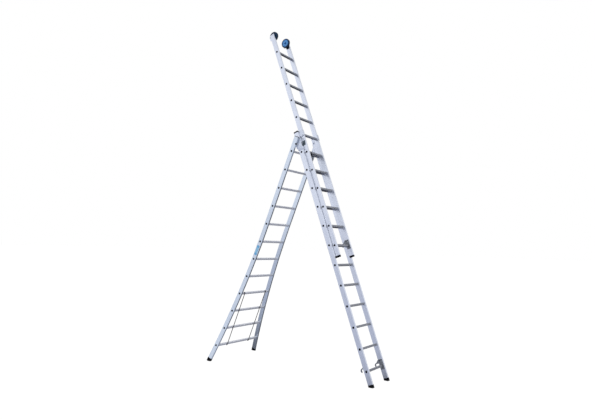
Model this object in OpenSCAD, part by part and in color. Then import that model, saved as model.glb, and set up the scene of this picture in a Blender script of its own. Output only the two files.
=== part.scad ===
// Three-section combination ladder in aluminium, standing as an A-frame.
// The rear section flares towards its feet. The middle section hinges to it at the top.
// The front section hooks on the middle one's rungs and carries two wall wheels.
// +X is the width, -Y the side that is climbed, +Z up, and the floor is at z = 0.
// In a section's own frame, z runs up the stile from rung 1 and +y points to the rear.

/* [Stance] */
// Angle between the rear and the middle section when the A-frame is open
opening_angle = 42.4; // [34:0.2:46]
// Rungs by which the front section is run up on the middle one
front_raised = 6; // [3:1:9]
// Distance between the rung planes of two neighbouring sections
plane_spacing = 62; // [56:1:80]
// How far a section's rungs hang below those of the section that carries it
hook_drop = 20; // [12:1:24]

/* [Rungs] */
// Number of rungs in each section
rung_count = 12; // [8:1:14]
// Distance from one rung to the next along the stile
rung_pitch = 280; // [250:1:340]
// Side of the square rung tube
rung_size = 30; // [25:1:36]
// Wall thickness of the rung tube
rung_wall = 1.5; // [1.2:0.1:2.5]
// Corner radius of the rung tube
rung_corner = 4; // [2:0.5:6]
// How far a rung reaches past the middle of each stile
rung_tenon = 5; // [2:0.5:6]

/* [Stiles] */
// Depth of the stile section, front to rear
stile_depth = 70; // [62:1:84]
// Width of the stile section, side to side
stile_width = 26; // [22:1:32]
// Wall thickness of the stile section
stile_wall = 1.8; // [1.4:0.1:2.5]
// Corner radius of the stile section
stile_corner = 3; // [2:0.5:5]
// Width of each groove along the stile's outer face
groove_width = 5; // [3:0.5:8]
// Depth of each groove along the stile's outer face
groove_depth = 0.7; // [0.3:0.1:1]

/* [Section sizes] */
// Width over the front section's stiles
front_width = 400; // [330:5:480]
// Side gap between the front section's stiles and the middle section's
front_side_gap = 9; // [8:0.5:14]
// Side gap between the middle section's stiles and the rear section's
hinge_side_gap = 13; // [12:0.5:18]
// Stile length above rung 1 of the front section
front_top = 307; // [256:1:370]
// Stile length below the last rung of the front section
front_bottom = 145; // [120:1:180]
// Stile length above rung 1 of the middle section
middle_top = 320; // [300:1:384]
// Distance from the middle section's last rung to the floor, along the stile
middle_reach = 200; // [165:1:240]
// Stile length above rung 1 of the rear section
rear_top = 213; // [200:1:256]
// Distance from the rear section's last rung to the floor, along the section
rear_reach = 250; // [205:1:300]
// Distance below rung 1 at which the rear stiles start to flare
flare_start = 1115; // [930:5:1340]
// Radius of the rear stiles' flare
flare_radius = 9800; // [8100:50:11800]

/* [Hinge] */
// Height of the hinge axis above the middle section's rung 1
pivot_height = 137; // [130:1:165]
// Diameter of the hinge pin
pin_diameter = 12; // [10:0.5:14]
// Thickness of the hinge bracket's plate
bracket_plate = 4; // [3:0.5:5]
// Thickness of the hinge ear on the rear stile
ear_plate = 4; // [3:0.5:5]
// How far the hinge bracket reaches above the hinge axis
bracket_above = 85; // [75:1:100]
// How far the hinge bracket reaches below the hinge axis
bracket_below = 105; // [90:1:110]
// Distance from the hinge axis to the stop stud
stud_radius = 34; // [30:1:38]
// Diameter of the stop stud
stud_diameter = 10; // [8:0.5:12]

/* [Hooks and guides] */
// Width of a hook's claw
claw_width = 18; // [12:1:22]
// Thickness of a hook's mounting plate
hook_plate = 4; // [3:0.5:5]
// Thickness of the claw behind the rung
claw_thick = 14; // [10:1:18]
// Height of the guide bracket on top of the middle section
guide_height = 104; // [90:1:110]
// Thickness of the guide bracket
guide_plate = 4; // [3:0.5:5]
// Diameter of the guide rods on the rear section
rod_diameter = 11; // [6:0.5:14]

/* [Wheels] */
// Outer diameter of a wall wheel
wheel_diameter = 145; // [121:1:174]
// Width of a wall wheel
wheel_width = 34; // [28:1:41]
// Thickness of the tyre
tyre_thick = 14; // [11:1:17]
// Diameter of the wheel axle
axle_diameter = 10; // [8:0.5:12]
// Distance from the end of the front stile down to the wheel axle
axle_below_end = 15; // [12:1:20]

/* [Caps, feet and fasteners] */
// Diameter of the plug over each rung's end
plug_diameter = 31; // [20:0.5:34]
// How far a plug stands out of the stile
plug_proud = 1; // [0.5:0.1:1.4]
// Height of the rubber foot below the middle stile's end
middle_foot = 36; // [30:1:44]
// Height of the rubber foot below the rear stile's end
rear_foot = 46; // [38:1:56]
// Thickness of the end caps
cap_thick = 8; // [5:1:12]
// Height of the bottom caps on the front section
front_foot = 25; // [20:1:30]
// Diameter of a rivet's shank
rivet_diameter = 6; // [5:0.5:8]
// Length of the label on the rear stile
label_length = 150; // [120:5:180]
// Width of the label on the rear stile
label_width = 44; // [36:1:50]

/* [Hidden] */
$fn = 48;
arc_fn = 720;
fit_clearance = 0.05;
face_gap = 0.3;
slide_gap = plug_proud + 0.5;
guide_gap = 2;
hook_play = 1.5;
hook_rest_gap = 0.5;
groove_place = 0.3 * stile_depth;
cap_plug = 22;
cap_fit = 0.2;
cap_proud = 0.6;
foot_proud = 1;
toe_lift = 6;
plug_stem = 4;
plug_stem_diameter = plug_diameter - 4;
rivet_head = 11;
rivet_rise = 2.2;
label_thick = 0.4;
label_glue = 0.05;

front_half = front_width / 2;
middle_half = front_half + stile_width + front_side_gap;
rear_half = middle_half + stile_width + hinge_side_gap;
front_inner = front_half - stile_width;
middle_inner = middle_half - stile_width;
rear_inner = rear_half - stile_width;
last_rung = -(rung_count - 1) * rung_pitch;

// The hinge axis lies midway between the rung planes of the rear and the middle section
half_spacing = plane_spacing / 2;
rear_pivot_height = pivot_height - hook_drop;
middle_leg = pivot_height - last_rung + middle_reach;
rear_leg = rear_pivot_height - last_rung + rear_reach;

// Both feet stand on the floor, which settles how far each section leans
foot_drop = middle_leg - rear_leg * cos(opening_angle) + half_spacing * sin(opening_angle);
foot_spread = rear_leg * sin(opening_angle) + half_spacing * cos(opening_angle) + half_spacing;
middle_lean = atan2(foot_drop, foot_spread);
rear_lean = opening_angle - middle_lean;
pivot_z = middle_leg * cos(middle_lean) - half_spacing * sin(middle_lean);

// The origin is on the floor, halfway between the outer edges of the feet
foot_edge = half_spacing + stile_depth / 2 + foot_proud;
front_edge = (middle_leg + toe_lift) * sin(middle_lean) + foot_edge * cos(middle_lean);
rear_edge = (rear_leg + toe_lift) * sin(rear_lean) + foot_edge * cos(rear_lean);
pivot_y = (front_edge - rear_edge) / 2;

// The rear stile runs straight, then along an arc that ends at the foot
rear_axis = rear_half - stile_width / 2;
rear_end = -last_rung + rear_reach - rear_foot;
flare_angle = asin((rear_end - flare_start) / flare_radius);
function flare_slope(depth) = depth <= flare_start ? 0 : asin((depth - flare_start) / flare_radius);
function flare_offset(depth) = flare_radius * (1 - cos(flare_slope(depth)));

// The hinge bracket is a channel round the middle stile, the ear lies on the rear stile
channel_face = middle_half + slide_gap;
bracket_face = channel_face + bracket_plate;
ear_face = rear_inner - ear_plate;
pin_head_diameter = pin_diameter + 8;
pin_head = 7;
pin_boss = pin_diameter / 2 + 14;
ear_low = rear_pivot_height - 57;
ear_high = rear_pivot_height + 66;
stud_angle = 20;
stud_travel = opening_angle + 1;
channel_lip = 2;

// The guide bracket holds the front stile at the middle section's top
guide_low = middle_top - guide_height - 2;
guide_front = -plane_spacing - stile_depth / 2 - guide_gap;
guide_rear = -plane_spacing + stile_depth / 2 + guide_gap;
guide_web = front_half + plug_proud + guide_gap;
guide_lip = front_inner + 2;
guide_back = stile_depth / 2 - 10;

// The hook's mouth fits the rung of the section that carries it
mouth_rear = plane_spacing + rung_size / 2 + hook_play;
mouth_top = hook_drop + rung_size / 2 + hook_rest_gap;
claw_radius = mouth_rear - plane_spacing + claw_thick;
hook_half = stile_depth / 2 - 7;
hook_high = mouth_top + 50;
hook_low = -rung_size / 2 - 33;
hook_rivets = [
    [-hook_half / 2, hook_high - 14],
    [hook_half / 4, hook_high - 14],
    [0, hook_low + 14],
];
claw_start = hook_half / 4 + rivet_head / 2 + 3;

ear_rivets = [
    [-stile_depth / 4, ear_low + 16],
    [stile_depth / 4, ear_low + 16],
    [-stile_depth / 4, ear_high - 10],
    [stile_depth / 4, ear_high - 14],
];
guide_bolts = [
    [guide_back - 14, guide_low + 18],
    [guide_back - 14, middle_top - cap_plug - rivet_diameter],
];
stop_bolt = [0, pivot_height + bracket_above + face_gap + rivet_head / 2];

// The wheel runs on an axle through the front stile's end
axle_height = front_top - axle_below_end;
wheel_bracket_plate = 4;
wheel_bracket_half = 25;
wheel_bracket_low = axle_height - 92;
wheel_side_gap = 3;
wheel_face = front_inner - wheel_bracket_plate - wheel_side_gap;
wheel_middle = wheel_face - wheel_width / 2;
wheel_rivets = [
    [-12, wheel_bracket_low + 12],
    [12, wheel_bracket_low + 12],
];
axle_length = front_half - wheel_face + wheel_width + face_gap;
axle_nut = 6;
hub_radius = axle_diameter / 2 + 11;
web_inset = 5;

// Guide rods clip over the fourth last rung and under the last one
rod_place = middle_half + rod_diameter / 2 + 4;
rod_high = last_rung + 3 * rung_pitch + rung_size / 2 + rod_diameter / 2;
rod_low = last_rung - rung_size / 2 - rod_diameter / 2;
rod_plane = -rung_size / 2 - rod_diameter / 2;
rod_tail = rung_size / 2;

// The label is centred between rungs 6 and 7
label_depth = 5.5 * rung_pitch;

rung_group = 3;
function pad(i) = i < 10 ? str("0", i) : str(i);
function rear_rung_name(i) = str("rear_rung_", pad(i));
function group_name(section, first) =
    str(section, "_rungs_", pad(first), "_", pad(min(first + rung_group - 1, rung_count)));

// Places a section, whose own frame starts at its rung 1
module on_rear() {
    translate([0, pivot_y, pivot_z])
        rotate([rear_lean, 0, 0])
            translate([0, half_spacing, -rear_pivot_height])
                children();
}

module on_middle() {
    translate([0, pivot_y, pivot_z])
        rotate([-middle_lean, 0, 0])
            translate([0, -half_spacing, -pivot_height])
                children();
}

module on_front() {
    on_middle()
        translate([0, -plane_spacing, front_raised * rung_pitch - hook_drop])
            children();
}

// side is 1 for the right-hand piece and -1 for the left-hand one
module on_side(side) {
    if (side > 0) children();
    else mirror([1, 0, 0]) children();
}

module both_sides() {
    for (side = [-1, 1])
        on_side(side) children();
}

// Stands a drawing in y and z upright, so that it extrudes along x
module across(from, thick) {
    translate([from, 0, 0])
        rotate([90, 0, 90])
            linear_extrude(thick)
                children();
}

module rounded_box(width, depth, radius) {
    square([width - 2 * radius, depth], center = true);
    square([width, depth - 2 * radius], center = true);
    for (x = [-1, 1], y = [-1, 1])
        translate([x * (width / 2 - radius), y * (depth / 2 - radius)])
            circle(radius, $fn = 32);
}

// Stile section: x towards the outer face, y towards the rear
module stile_cavity(slack = 0) {
    rounded_box(
        stile_width - 2 * stile_wall - 2 * slack,
        stile_depth - 2 * stile_wall - 2 * slack,
        stile_corner - stile_wall / 2
    );
}

module stile_section() {
    difference() {
        rounded_box(stile_width, stile_depth, stile_corner);
        stile_cavity();
        for (y = [-1, 1])
            translate([stile_width / 2, y * groove_place])
                square([2 * groove_depth, groove_width], center = true);
    }
}

module rung_outline() {
    rounded_box(rung_size, rung_size, rung_corner);
}

// Square tube with three tread grooves in its top face
module rung(half_length) {
    across(-half_length, 2 * half_length)
        difference() {
            rung_outline();
            rounded_box(
                rung_size - 2 * rung_wall,
                rung_size - 2 * rung_wall,
                rung_corner - rung_wall
            );
            for (y = [-1, 0, 1])
                translate([y * rung_size / 4, rung_size / 2])
                    square([2, 1], center = true);
        }
}

// Opening in the stile's inner wall that the rung passes through
module rung_opening(axis) {
    across(axis - stile_width, stile_width)
        rung_outline();
}

module plug_opening() {
    translate([stile_width / 4, 0, 0])
        rotate([0, 90, 0])
            cylinder(d = plug_stem_diameter, h = stile_width / 2);
}

// Plug in the frame of the stile's axis, facing +x
module plug() {
    translate([stile_width / 2 - plug_stem, 0, 0])
        rotate([0, 90, 0])
            cylinder(d = plug_stem_diameter, h = plug_stem);
    translate([stile_width / 2, 0, 0])
        rotate([0, 90, 0])
            cylinder(d1 = plug_diameter, d2 = plug_diameter - 2, h = plug_proud);
}

// Rivet along +x: its head stands on x = 0 and its shank reaches to x = grip
module rivet(grip) {
    rotate([0, 90, 0])
        cylinder(d = rivet_diameter, h = grip);
    translate([-rivet_rise, 0, 0])
        rotate([0, 90, 0])
            cylinder(d1 = rivet_head - 3, d2 = rivet_head, h = rivet_rise);
}

module rivet_hole(from, length) {
    translate([from, 0, 0])
        rotate([0, 90, 0])
            cylinder(d = rivet_diameter, h = length);
}

module at_each(points) {
    for (p = points)
        translate([0, p[0], p[1]])
            children();
}

// Straight right-hand stile of a section with its rung and plug openings
module straight_stile(half_width, top, bottom) {
    axis = half_width - stile_width / 2;
    difference() {
        translate([axis, 0, last_rung - bottom])
            linear_extrude(top - last_rung + bottom)
                stile_section();
        for (i = [1 : rung_count])
            translate([0, 0, -(i - 1) * rung_pitch]) {
                rung_opening(axis);
                translate([axis, 0, 0]) plug_opening();
            }
        children();
    }
}

module top_cap(half_width, top) {
    translate([half_width - stile_width / 2, 0, top]) {
        linear_extrude(cap_thick)
            rounded_box(stile_width, stile_depth, stile_corner);
        translate([0, 0, -cap_plug])
            linear_extrude(cap_plug)
                stile_cavity(cap_fit);
    }
}

// Foot below a stile's end at z = 0: a plug inside the stile and a sole block under it
module foot_block(height) {
    linear_extrude(cap_plug)
        stile_cavity(cap_fit);
    translate([0, 0, -height])
        linear_extrude(height)
            rounded_box(
                stile_width + 2 * foot_proud,
                stile_depth + 2 * foot_proud,
                stile_corner + foot_proud
            );
}

module above_floor() {
    translate([-rear_leg, -rear_leg, 0])
        cube([2 * rear_leg, 2 * rear_leg, rear_leg / 2]);
}

// Rear section

module on_flare(depth) {
    translate([rear_axis + flare_offset(depth), 0, -depth])
        rotate([0, -flare_slope(depth), 0])
            children();
}

// Sweeps a drawing along the flare's arc between two angles
module flare_sweep(from, to) {
    translate([rear_axis + flare_radius, 0, -flare_start])
        rotate([90, 180, 0])
            rotate([0, 0, from])
                rotate_extrude(angle = to - from, $fn = arc_fn)
                    translate([flare_radius, 0])
                        mirror([1, 0])
                            children();
}

module rear_stile(side) {
    color("gainsboro")
    on_rear() on_side(side)
        difference() {
            union() {
                translate([rear_axis, 0, -flare_start])
                    linear_extrude(rear_top + flare_start)
                        stile_section();
                flare_sweep(0, flare_angle) stile_section();
            }
            for (i = [1 : rung_count]) {
                depth = (i - 1) * rung_pitch;
                translate([0, 0, -depth])
                    rung_opening(rear_axis + flare_offset(depth));
                on_flare(depth) plug_opening();
            }
            at_each(ear_rivets)
                rivet_hole(rear_inner - 1, stile_wall + 2);
            translate([rear_inner - 1, -half_spacing, rear_pivot_height])
                rotate([0, 90, 0])
                    cylinder(d = pin_head_diameter + 5, h = stile_width + 2);
        }
}

module rear_rung(i) {
    depth = (i - 1) * rung_pitch;
    color("silver")
    on_rear()
        translate([0, 0, -depth])
            rung(rear_axis + flare_offset(depth) + rung_tenon);
}

module rear_plugs() {
    color("black")
    on_rear() both_sides()
        for (i = [1 : rung_count])
            on_flare((i - 1) * rung_pitch) plug();
}

module rear_top_caps() {
    color("dimgray")
    on_rear() both_sides()
        top_cap(rear_half, rear_top);
}

module rear_foot(side) {
    color("black")
    intersection() {
        on_rear() on_side(side)
            on_flare(rear_end)
                foot_block((rear_foot + toe_lift) / cos(flare_angle));
        above_floor();
    }
}

// Points of an arc round a centre
function arc(centre, radius, from, to, steps = 16) = [
    for (i = [0 : steps])
        centre + radius * [cos(from + (to - from) * i / steps), sin(from + (to - from) * i / steps)]
];

// Slot for the stop stud: an arc round the hinge axis with round ends
module stud_slot() {
    reach = stud_diameter / 2 + face_gap;
    last = stud_angle + stud_travel;
    start_centre = stud_radius * [cos(stud_angle), sin(stud_angle)];
    end_centre = stud_radius * [cos(last), sin(last)];
    polygon(concat(
        arc([0, 0], stud_radius + reach, stud_angle, last),
        arc(end_centre, reach, last + 15, last + 165, 10),
        arc([0, 0], stud_radius - reach, last, stud_angle),
        arc(start_centre, reach, stud_angle + 195, stud_angle + 345, 10)
    ));
}

module rear_hinge_ear(side) {
    color("lightgray")
    on_rear() on_side(side)
        difference() {
            across(ear_face, ear_plate)
                difference() {
                    union() {
                        translate([-half_spacing, ear_low])
                            square([half_spacing + stile_depth / 2 - 4, ear_high - ear_low]);
                        translate([-half_spacing, rear_pivot_height])
                            circle(pin_boss);
                        polygon([
                            [-half_spacing, rear_pivot_height - pin_boss],
                            [-half_spacing, rear_pivot_height + pin_boss],
                            [stile_depth / 4, ear_high],
                            [stile_depth / 4, ear_low],
                        ]);
                    }
                    translate([-half_spacing, rear_pivot_height]) {
                        circle(d = pin_diameter + 2 * fit_clearance);
                        stud_slot();
                    }
                }
            at_each(ear_rivets)
                rivet_hole(ear_face - 1, ear_plate + 2);
        }
}

module rear_rivets() {
    color("dimgray")
    on_rear() both_sides()
        at_each(ear_rivets)
            translate([ear_face, 0, 0])
                rivet(ear_plate + stile_wall + 1);
}

// Rods that keep the middle section's stiles in line between the flared stiles
module rear_guide_rods() {
    color("silver")
    on_rear() both_sides()
        translate([rod_place, rod_plane, 0]) {
            translate([0, 0, rod_low])
                cylinder(d = rod_diameter, h = rod_high - rod_low);
            for (z = [rod_low, rod_high])
                translate([0, 0, z]) {
                    sphere(d = rod_diameter);
                    rotate([-90, 0, 0])
                        cylinder(d = rod_diameter, h = rod_tail);
                }
        }
}

module side_label() {
    middle = flare_slope(label_depth);
    reach = label_length / 2 / flare_radius * 180 / PI;
    color("lightsteelblue")
    on_rear() on_side(-1)
        flare_sweep(middle - reach, middle + reach)
            translate([stile_width / 2 + label_glue + label_thick / 2, 0])
                square([label_thick, label_width], center = true);
}

// Hinge link: a bracket on each side, through which the middle section slides

module hinge_bracket(side) {
    stud = opening_angle + stud_angle;
    depth = stile_depth / 2 + slide_gap;
    low = pivot_height - bracket_below;
    color("whitesmoke")
    on_middle() on_side(side) {
        across(channel_face, bracket_plate)
            difference() {
                union() {
                    translate([-depth - bracket_plate, low])
                        square([2 * (depth + bracket_plate), bracket_below + bracket_above]);
                    translate([half_spacing, pivot_height]) {
                        circle(pin_boss);
                        rotate(stud)
                            translate([stud_radius, 0])
                                circle(stud_diameter / 2 + 8);
                        polygon([
                            [0, -bracket_below + 22],
                            [pin_boss + 4, -bracket_below + 34],
                            [pin_boss + 4, stud_radius],
                            [0, bracket_above - 20],
                        ]);
                    }
                }
                translate([half_spacing, pivot_height])
                    circle(d = pin_diameter + 2 * fit_clearance);
            }
        for (y = [-depth - bracket_plate, depth])
            translate([middle_inner + channel_lip, y, low])
                cube([
                    channel_face - middle_inner - channel_lip,
                    bracket_plate,
                    bracket_below + bracket_above
                ]);
        translate([channel_face, half_spacing, pivot_height])
            rotate([stud, 0, 0])
                translate([0, stud_radius, 0])
                    rotate([0, 90, 0])
                        cylinder(
                            d = stud_diameter,
                            h = rear_inner - channel_face - face_gap
                        );
    }
}

module hinge_pins() {
    color("dimgray")
    on_middle() both_sides()
        translate([channel_face, half_spacing, pivot_height])
            rotate([0, 90, 0]) {
                cylinder(d = pin_diameter, h = rear_inner - channel_face + 1);
                translate([0, 0, bracket_plate])
                    cylinder(
                        d = pin_head_diameter,
                        h = ear_face - bracket_face - face_gap
                    );
                translate([0, 0, rear_inner - channel_face + face_gap])
                    cylinder(d = pin_head_diameter, h = pin_head);
            }
}

// Hooks

module hook_drawing() {
    difference() {
        translate([-hook_half, hook_low])
            square([2 * hook_half, hook_high - hook_low]);
        rounded_box(rung_size + 1, rung_size + 1, rung_corner);
    }
}

module claw_drawing() {
    difference() {
        union() {
            translate([plane_spacing, hook_drop])
                circle(claw_radius);
            polygon([
                [claw_start, mouth_top],
                [claw_start, hook_high],
                [hook_half, hook_high],
                [plane_spacing, hook_drop + claw_radius],
                [plane_spacing, mouth_top],
            ]);
        }
        translate([0, -claw_radius])
            square([mouth_rear - rung_corner, claw_radius + mouth_top]);
        translate([0, -claw_radius])
            square([mouth_rear, claw_radius + mouth_top - rung_corner]);
        translate([mouth_rear - rung_corner, mouth_top - rung_corner])
            circle(rung_corner);
        translate([0, -claw_radius])
            square([plane_spacing + claw_radius, claw_radius - 3]);
    }
}

// Hook at a section's last rung, on the inner face of its right-hand stile
module hook(inner) {
    translate([0, 0, last_rung]) {
        difference() {
            across(inner - hook_plate, hook_plate) hook_drawing();
            at_each(hook_rivets)
                rivet_hole(inner - hook_plate - 1, hook_plate + 2);
        }
        across(inner - claw_width, claw_width) claw_drawing();
    }
}

module hook_rivet_holes(inner) {
    translate([0, 0, last_rung])
        at_each(hook_rivets)
            rivet_hole(inner - 1, stile_wall + 2);
}

module hook_rivet_set(inner) {
    translate([inner - hook_plate, 0, last_rung])
        at_each(hook_rivets)
            rivet(hook_plate + stile_wall + 1);
}

// Middle section

module middle_stile(side) {
    color("gainsboro")
    on_middle() on_side(side)
        straight_stile(middle_half, middle_top, middle_reach - middle_foot) {
            hook_rivet_holes(middle_inner);
            at_each(guide_bolts)
                rivet_hole(middle_inner - 1, stile_wall + 2);
            at_each([stop_bolt])
                rivet_hole(middle_half - stile_wall - 1, stile_wall + 2);
        }
}

module straight_rungs(half_width, first) {
    for (i = [first : min(first + rung_group - 1, rung_count)])
        translate([0, 0, -(i - 1) * rung_pitch])
            rung(half_width - stile_width / 2 + rung_tenon);
}

module straight_plugs(half_width) {
    for (i = [1 : rung_count])
        translate([half_width - stile_width / 2, 0, -(i - 1) * rung_pitch])
            plug();
}

module middle_rungs(first) {
    color("silver")
    on_middle() straight_rungs(middle_half, first);
}

module middle_plugs() {
    color("black")
    on_middle() both_sides() straight_plugs(middle_half);
}

module middle_foot(side) {
    color("black")
    intersection() {
        on_middle() on_side(side)
            translate([
                middle_half - stile_width / 2,
                0,
                last_rung - middle_reach + middle_foot
            ])
                foot_block(middle_foot + toe_lift);
        above_floor();
    }
}

module middle_top_caps() {
    color("black")
    on_middle() both_sides()
        top_cap(middle_half, middle_top);
}

module middle_hook(side) {
    color("dimgray")
    on_middle() on_side(side) hook(middle_inner);
}

module middle_guide(side) {
    color("whitesmoke")
    on_middle() on_side(side)
        difference() {
            translate([0, 0, guide_low]) {
                translate([guide_web, guide_front - guide_plate, 0])
                    cube([
                        middle_inner - guide_web,
                        guide_back - guide_front + guide_plate,
                        guide_height
                    ]);
                for (y = [guide_front - guide_plate, guide_rear])
                    translate([guide_lip, y, 0])
                        cube([middle_inner - guide_lip, guide_plate, guide_height]);
            }
            at_each(guide_bolts)
                rivet_hole(guide_web - 1, middle_inner - guide_web + 2);
        }
}

module middle_rivets() {
    color("dimgray")
    on_middle() both_sides() {
        hook_rivet_set(middle_inner);
        at_each(guide_bolts)
            translate([guide_web, 0, 0])
                rivet(middle_inner - guide_web + stile_wall + 1);
        at_each([stop_bolt])
            translate([middle_half, 0, 0])
                mirror([1, 0, 0]) rivet(stile_wall + 1);
    }
}

// Front section

module front_stile(side) {
    color("gainsboro")
    on_front() on_side(side)
        straight_stile(front_half, front_top, front_bottom) {
            hook_rivet_holes(front_inner);
            at_each(wheel_rivets)
                rivet_hole(front_inner - 1, stile_wall + 2);
            translate([front_inner - 1, 0, axle_height])
                rotate([0, 90, 0])
                    cylinder(d = axle_diameter, h = stile_width + 2);
        }
}

module front_rungs(first) {
    color("silver")
    on_front() straight_rungs(front_half, first);
}

module front_plugs() {
    color("black")
    on_front() both_sides() straight_plugs(front_half);
}

module front_top_caps() {
    color("black")
    on_front() both_sides()
        difference() {
            top_cap(front_half, front_top);
            translate([front_inner, 0, axle_height])
                rotate([0, 90, 0])
                    cylinder(d = axle_diameter + 1, h = stile_width);
        }
}

module front_bottom_caps() {
    color("black")
    on_front() both_sides()
        translate([front_half - stile_width / 2, 0, last_rung - front_bottom]) {
            linear_extrude(cap_plug)
                stile_cavity(cap_fit);
            translate([0, 0, -front_foot])
                linear_extrude(front_foot)
                    rounded_box(
                        stile_width + 2 * cap_proud,
                        stile_depth + 2 * cap_proud,
                        stile_corner + cap_proud
                    );
        }
}

module front_hook(side) {
    color("dimgray")
    on_front() on_side(side) hook(front_inner);
}

module front_rivets() {
    color("dimgray")
    on_front() both_sides() {
        hook_rivet_set(front_inner);
        at_each(wheel_rivets)
            translate([front_inner - wheel_bracket_plate, 0, 0])
                rivet(wheel_bracket_plate + stile_wall + 1);
    }
}

// Wheels

module wheel_bracket(side) {
    color("black")
    on_front() on_side(side)
        difference() {
            union() {
                across(front_inner - wheel_bracket_plate, wheel_bracket_plate)
                    union() {
                        translate([-wheel_bracket_half, wheel_bracket_low])
                            square([2 * wheel_bracket_half, axle_height - wheel_bracket_low]);
                        translate([0, axle_height]) circle(wheel_bracket_half);
                    }
                translate([wheel_face + face_gap, 0, axle_height])
                    rotate([0, 90, 0])
                        cylinder(r = hub_radius, h = wheel_side_gap);
            }
            at_each(wheel_rivets)
                rivet_hole(front_inner - wheel_bracket_plate - 1, wheel_bracket_plate + 2);
            translate([wheel_face - 1, 0, axle_height])
                rotate([0, 90, 0])
                    cylinder(d = axle_diameter, h = front_inner - wheel_face + 2);
        }
}

module wheel_axles() {
    color("silver")
    on_front() both_sides()
        translate([wheel_face - wheel_width - face_gap, 0, axle_height])
            rotate([0, 90, 0]) {
                cylinder(d = axle_diameter, h = axle_length);
                translate([0, 0, -axle_nut])
                    cylinder(d = axle_diameter + 8, h = axle_nut);
                translate([0, 0, axle_length])
                    cylinder(d = axle_diameter + 5, h = plug_proud);
            }
}

// Sweeps a drawing round the wheel axle: x is the radius, y runs along the axle
module round_axle(side) {
    on_front() on_side(side)
        translate([wheel_middle, 0, axle_height])
            rotate([0, 90, 0])
                rotate_extrude($fn = 96)
                    children();
}

module wheel_tyre(side) {
    color("black")
    round_axle(side)
        translate([wheel_diameter / 2 - tyre_thick / 2, 0])
            rounded_box(tyre_thick, wheel_width, tyre_thick / 3);
}

module wheel_disc(side) {
    rim = wheel_diameter / 2 - tyre_thick;
    bore = axle_diameter / 2 + fit_clearance;
    color("royalblue")
    round_axle(side)
        union() {
            translate([rim - 7, -wheel_width / 2 + 1])
                square([7, wheel_width - 2]);
            translate([bore, -wheel_width / 2 + web_inset])
                square([rim - bore, wheel_width - 2 * web_inset]);
            translate([bore, -wheel_width / 2])
                square([hub_radius - bore, wheel_width]);
        }
}

rear_stile(-1);  // rear_stile_left
rear_stile(1);  // rear_stile_right
rear_foot(-1);  // rear_foot_left
rear_foot(1);  // rear_foot_right
rear_hinge_ear(-1);  // rear_hinge_ear_left
rear_hinge_ear(1);  // rear_hinge_ear_right
rear_top_caps();
rear_plugs();
rear_rivets();
rear_guide_rods();
side_label();
hinge_bracket(-1);  // hinge_bracket_left
hinge_bracket(1);  // hinge_bracket_right
hinge_pins();
middle_stile(-1);  // middle_stile_left
middle_stile(1);  // middle_stile_right
middle_foot(-1);  // middle_foot_left
middle_foot(1);  // middle_foot_right
middle_hook(-1);  // middle_hook_left
middle_hook(1);  // middle_hook_right
middle_guide(-1);  // middle_guide_left
middle_guide(1);  // middle_guide_right
middle_top_caps();
middle_plugs();
middle_rivets();
front_stile(-1);  // front_stile_left
front_stile(1);  // front_stile_right
front_hook(-1);  // front_hook_left
front_hook(1);  // front_hook_right
front_bottom_caps();
front_top_caps();
front_plugs();
front_rivets();
wheel_bracket(-1);  // wheel_bracket_left
wheel_bracket(1);  // wheel_bracket_right
wheel_axles();
wheel_tyre(-1);  // wheel_tyre_left
wheel_tyre(1);  // wheel_tyre_right
wheel_disc(-1);  // wheel_disc_left
wheel_disc(1);  // wheel_disc_right
for (i = [1 : rung_count])
    rear_rung(i);
for (i = [1 : rung_group : rung_count])
    middle_rungs(i);
for (i = [1 : rung_group : rung_count])
    front_rungs(i);
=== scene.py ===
import math

import bmesh
import bpy
from mathutils import Matrix, Vector


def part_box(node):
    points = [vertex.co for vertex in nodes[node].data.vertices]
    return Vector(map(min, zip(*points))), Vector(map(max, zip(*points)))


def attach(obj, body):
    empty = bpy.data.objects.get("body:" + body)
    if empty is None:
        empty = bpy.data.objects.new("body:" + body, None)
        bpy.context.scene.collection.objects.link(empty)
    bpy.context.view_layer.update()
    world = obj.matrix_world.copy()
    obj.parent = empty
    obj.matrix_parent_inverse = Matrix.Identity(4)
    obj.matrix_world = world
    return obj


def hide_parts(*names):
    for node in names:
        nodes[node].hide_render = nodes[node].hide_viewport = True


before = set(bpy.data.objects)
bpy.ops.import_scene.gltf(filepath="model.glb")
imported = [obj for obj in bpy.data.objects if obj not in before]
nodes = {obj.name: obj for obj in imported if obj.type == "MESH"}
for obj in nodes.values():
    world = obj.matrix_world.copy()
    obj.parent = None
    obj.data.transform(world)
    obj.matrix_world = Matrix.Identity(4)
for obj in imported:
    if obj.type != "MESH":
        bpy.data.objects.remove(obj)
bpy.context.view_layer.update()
scene = bpy.context.scene
print("frame loaded:", len(nodes), "nodes")

# Camera, floor and studio light

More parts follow.
